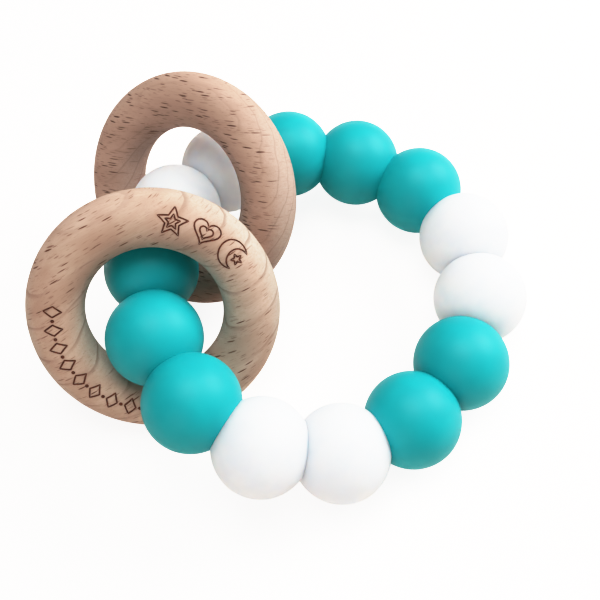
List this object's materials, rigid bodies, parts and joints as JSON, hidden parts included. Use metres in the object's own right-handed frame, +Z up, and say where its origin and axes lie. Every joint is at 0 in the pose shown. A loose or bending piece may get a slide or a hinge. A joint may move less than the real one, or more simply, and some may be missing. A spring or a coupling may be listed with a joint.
{
  "type": "teething ring",
  "caption": "Closed loop of round silicone beads on a hidden cord, with two turned wooden rings threaded on it, lying flat as a baby's teether.",
  "frame": {"origin": "centre of the bounding box at table level, with the teether lying as it does in use", "axes": "+Z up from the table; the wooden rings are on the -X side of the bead loop"},
  "size_m": [0.0786, 0.0704, 0.0324],
  "materials": {
    "silicone_teal": "satin food-grade silicone, teal",
    "silicone_white": "satin food-grade silicone, white",
    "beech_wood": "bare sanded beech, oiled",
    "cord": "braided nylon"
  },
  "bodies": {
    "string": {"threading_cord": "cord"},
    "bead_01_teal": {"bead_01_teal": "silicone_teal"},
    "bead_02_white": {"bead_02_white": "silicone_white"},
    "bead_03_white": {"bead_03_white": "silicone_white"},
    "bead_04_teal": {"bead_04_teal": "silicone_teal"},
    "bead_05_teal": {"bead_05_teal": "silicone_teal"},
    "bead_06_teal": {"bead_06_teal": "silicone_teal"},
    "bead_07_white": {"bead_07_white": "silicone_white"},
    "bead_08_white": {"bead_08_white": "silicone_white"},
    "bead_09_teal": {"bead_09_teal": "silicone_teal"},
    "bead_10_teal": {"bead_10_teal": "silicone_teal"},
    "bead_11_white": {"bead_11_white": "silicone_white"},
    "bead_12_white": {"bead_12_white": "silicone_white"},
    "bead_13_teal": {"bead_13_teal": "silicone_teal"},
    "bead_14_teal": {"bead_14_teal": "silicone_teal"},
    "front_wood_ring": {"front_wood_ring": "beech_wood"},
    "back_wood_ring": {"back_wood_ring": "beech_wood"}
  },
  "joints": [
    {"name": "bead_01_teal_spin", "type": "hinge", "parent": "string", "child": "bead_01_teal", "pos_m": [-0.02031, 0.00382, 0.01572], "axis": [0.1587, 0.9873, 0], "continuous": true},
    {"name": "bead_02_white_spin", "type": "hinge", "parent": "string", "child": "bead_02_white", "pos_m": [-0.01609, 0.01544, 0.01528], "axis": [0.5112, 0.8566, -0.0701], "continuous": true},
    {"name": "bead_03_white_spin", "type": "hinge", "parent": "string", "child": "bead_03_white", "pos_m": [-0.00762, 0.02411, 0.01361], "axis": [0.8322, 0.5188, -0.1956], "continuous": true},
    {"name": "bead_04_teal_spin", "type": "hinge", "parent": "string", "child": "bead_04_teal", "pos_m": [0.00375, 0.02778, 0.01099], "axis": [0.9735, 0.0642, -0.2195], "continuous": true},
    {"name": "bead_05_teal_spin", "type": "hinge", "parent": "string", "child": "bead_05_teal", "pos_m": [0.01566, 0.02586, 0.00865], "axis": [0.917, -0.3684, -0.1527], "continuous": true},
    {"name": "bead_06_teal_spin", "type": "hinge", "parent": "string", "child": "bead_06_teal", "pos_m": [0.02574, 0.01894, 0.00756], "axis": [0.6825, -0.7307, -0.0198], "continuous": true},
    {"name": "bead_07_white_spin", "type": "hinge", "parent": "string", "child": "bead_07_white", "pos_m": [0.0317, 0.00826, 0.00744], "axis": [0.2639, -0.9645, 0], "continuous": true},
    {"name": "bead_08_white_spin", "type": "hinge", "parent": "string", "child": "bead_08_white", "pos_m": [0.03191, -0.00395, 0.00744], "axis": [-0.2309, -0.973, 0], "continuous": true},
    {"name": "bead_09_teal_spin", "type": "hinge", "parent": "string", "child": "bead_09_teal", "pos_m": [0.02663, -0.01508, 0.00744], "axis": [-0.6075, -0.7943, 0], "continuous": true},
    {"name": "bead_10_teal_spin", "type": "hinge", "parent": "string", "child": "bead_10_teal", "pos_m": [0.0175, -0.02349, 0.00744], "axis": [-0.8418, -0.5398, 0], "continuous": true},
    {"name": "bead_11_white_spin", "type": "hinge", "parent": "string", "child": "bead_11_white", "pos_m": [0.00607, -0.02781, 0.00857], "axis": [-0.9725, -0.1471, 0.1806], "continuous": true},
    {"name": "bead_12_white_spin", "type": "hinge", "parent": "string", "child": "bead_12_white", "pos_m": [-0.00556, -0.02665, 0.01197], "axis": [-0.8727, 0.3319, 0.3581], "continuous": true},
    {"name": "bead_13_teal_spin", "type": "hinge", "parent": "string", "child": "bead_13_teal", "pos_m": [-0.01494, -0.01965, 0.01497], "axis": [-0.6159, 0.7788, 0.119], "continuous": true},
    {"name": "bead_14_teal_spin", "type": "hinge", "parent": "string", "child": "bead_14_teal", "pos_m": [-0.02006, -0.00857, 0.01572], "axis": [-0.1978, 0.9802, 0], "continuous": true},
    {"name": "front_wood_ring_swing", "type": "hinge", "parent": "string", "child": "front_wood_ring", "pos_m": [-0.01986, -0.0041, 0.01619], "axis": [0.9981, 0.0613, 0], "range_deg": [0, 35]},
    {"name": "back_wood_ring_swing", "type": "hinge", "parent": "string", "child": "back_wood_ring", "pos_m": [-0.01332, 0.01821, 0.01619], "axis": [0.7769, -0.6296, 0], "range_deg": [0, 35]}
  ]
}
